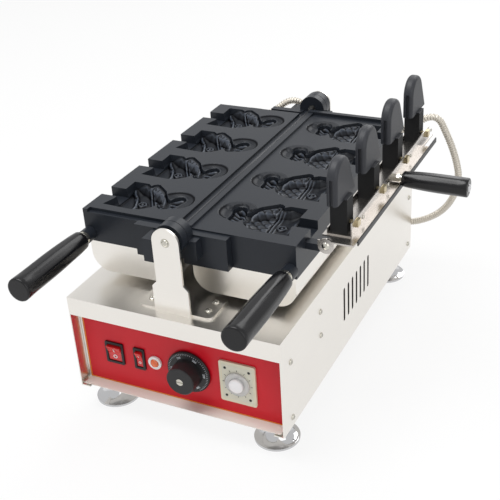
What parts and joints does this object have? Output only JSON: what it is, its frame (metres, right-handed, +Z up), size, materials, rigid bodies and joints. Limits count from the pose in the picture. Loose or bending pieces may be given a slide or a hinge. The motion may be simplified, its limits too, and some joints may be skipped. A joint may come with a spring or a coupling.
{
  "type": "waffle cone maker",
  "caption": "Countertop waffle cone maker with hinged fish-shaped mould halves, a swing-in bar of mouth cores, handles and a control panel on a steel base.",
  "frame": {"origin": "under the middle of the outer box, on the surface that the feet stand on", "axes": "+X to the right of the control panel, across the hinge; +Y to the back, along the hinge; +Z up"},
  "size_m": [0.4545, 0.6316, 0.3735],
  "materials": {
    "steel": "brushed stainless sheet",
    "hardware": "bright zinc or stainless",
    "feet": "polished",
    "label": "red printed sheet with a yellow border line",
    "casting": "black non-stick coating on a casting",
    "black_plastic": "satin black",
    "red_plastic": "glossy red",
    "lamp_ring": "polished",
    "timer_plastic": "pale ivory",
    "conduit": "ribbed metal hose"
  },
  "bodies": {
    "base": {"bottom_plate": "steel", "bracket_screws": "hardware", "foot_bolts": "hardware", "foot_front_left": "feet", "foot_front_right": "feet", "foot_rear_left": "feet", "foot_rear_right": "feet", "front_panel": "steel", "hinge_bracket_front": "steel", "hinge_bracket_rear": "steel", "hinge_pins": "hardware", "hinge_spacers": "hardware", "housing_cover": "steel", "lamp_bezel": "lamp_ring", "lamp_lens": "red_plastic", "left_conduit": "conduit", "left_rear_elbow": "black_plastic", "main_switch_body": "black_plastic", "panel_label": "label", "power_inlet": "black_plastic", "rear_panel": "steel", "right_conduit": "conduit", "right_rear_elbow": "black_plastic", "terminal_block": "black_plastic", "thermostat_body": "black_plastic", "timer_body": "timer_plastic", "timer_switch_body": "black_plastic"},
    "left_half": {"left_mould": "casting", "left_cover": "steel", "left_heater": "hardware", "left_handle_stud": "hardware", "left_grip": "black_plastic", "left_half_elbow": "black_plastic"},
    "right_half": {"right_mould": "casting", "right_cover": "steel", "right_heater": "hardware", "right_handle_stud": "hardware", "right_grip": "black_plastic", "right_half_elbow": "black_plastic", "pivot_screws": "hardware"},
    "core_bar": {"rail_plate": "steel", "core_channel": "steel", "mouth_core_1": "casting", "mouth_core_2": "casting", "mouth_core_3": "casting", "mouth_core_4": "casting", "core_bolts": "hardware", "bar_handle_stud": "hardware", "bar_grip": "black_plastic"},
    "main_switch_rocker": {"main_switch_rocker": "red_plastic"},
    "timer_switch_rocker": {"timer_switch_rocker": "red_plastic"},
    "thermostat_dial": {"thermostat_dial": "black_plastic", "dial_screw": "hardware"},
    "timer_knob": {"timer_knob": "timer_plastic"}
  },
  "joints": [
    {"name": "left_half_hinge", "type": "hinge", "parent": "base", "child": "left_half", "pos_m": [-0.07075, 0.03525, 0.276], "axis": [0, 1, 0], "range_deg": [0, 180], "deforming": ["left_conduit"]},
    {"name": "right_half_hinge", "type": "hinge", "parent": "base", "child": "right_half", "pos_m": [-0.07075, 0.03525, 0.276], "axis": [0, -1, 0], "range_deg": [0, 180], "deforming": ["right_conduit"]},
    {"name": "core_bar_swing", "type": "hinge", "parent": "right_half", "child": "core_bar", "pos_m": [0.10475, 0.03525, 0.268], "axis": [0, -1, 0], "range_deg": [0, 89]},
    {"name": "main_switch_press", "type": "hinge", "parent": "base", "child": "main_switch_rocker", "pos_m": [-0.16975, -0.20475, 0.091], "axis": [-1, 0, 0], "range_deg": [0, 24]},
    {"name": "timer_switch_press", "type": "hinge", "parent": "base", "child": "timer_switch_rocker", "pos_m": [-0.13175, -0.20475, 0.091], "axis": [-1, 0, 0], "range_deg": [0, 24]},
    {"name": "thermostat_turn", "type": "hinge", "parent": "base", "child": "thermostat_dial", "pos_m": [-0.05775, -0.20475, 0.091], "axis": [0, 1, 0], "range_deg": [0, 300]},
    {"name": "timer_turn", "type": "hinge", "parent": "base", "child": "timer_knob", "pos_m": [0.01175, -0.20475, 0.091], "axis": [0, 1, 0], "range_deg": [0, 300]}
  ]
}
